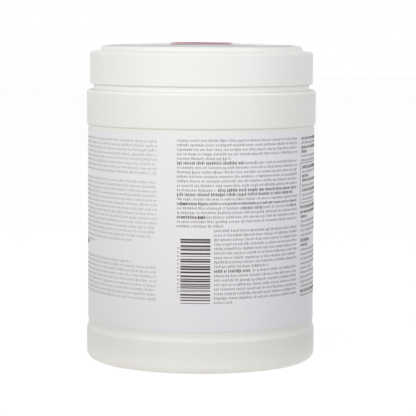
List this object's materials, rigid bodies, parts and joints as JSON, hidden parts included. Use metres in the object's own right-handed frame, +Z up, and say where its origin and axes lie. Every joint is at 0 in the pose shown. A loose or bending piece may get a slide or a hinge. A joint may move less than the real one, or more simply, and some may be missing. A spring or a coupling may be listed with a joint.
{
  "type": "canister of disinfecting wipes",
  "caption": "Round white canister with a wrap label, push-on lid, hinged centre cap over a dispensing hole, inner foil seal and a coreless roll of moist wipes.",
  "frame": {"origin": "centre of the foot ring, on the surface that the canister stands on", "axes": "+Z up along the canister's axis; +Y towards the front of the pack, where the cap's thumb lip is; the pictured back faces -Y"},
  "size_m": [0.128, 0.128, 0.177],
  "materials": {
    "body_plastic": "blow-moulded white polyethylene with a soft sheen and faint waviness",
    "label_film": "smooth printed film, very pale lilac white",
    "wet_fleece": "moist non-woven fleece",
    "seal_foil": "thin lidding foil, fine wrinkles",
    "lid_plastic": "injection-moulded white polypropylene, satin",
    "pale_sticker": "smooth printed sticker, pale blue grey",
    "cap_plastic": "injection-moulded white polypropylene, satin",
    "red_sticker": "smooth printed sticker, red with a dark bar"
  },
  "bodies": {
    "canister": {"canister": "body_plastic", "body_label": "label_film", "wipe_roll": "wet_fleece", "foil_seal": "seal_foil"},
    "lid": {"lid": "lid_plastic", "lid_label": "pale_sticker"},
    "flip_cap": {"flip_cap": "cap_plastic", "cap_label": "red_sticker"}
  },
  "joints": [
    {"name": "lid_lift", "type": "slide", "parent": "canister", "child": "lid", "axis": [0, 0, 1], "range_m": [0, 0.03]},
    {"name": "cap_flip", "type": "hinge", "parent": "lid", "child": "flip_cap", "pos_m": [0, -0.01777, 0.17665], "axis": [1, 0, 0], "range_deg": [0, 150]}
  ]
}
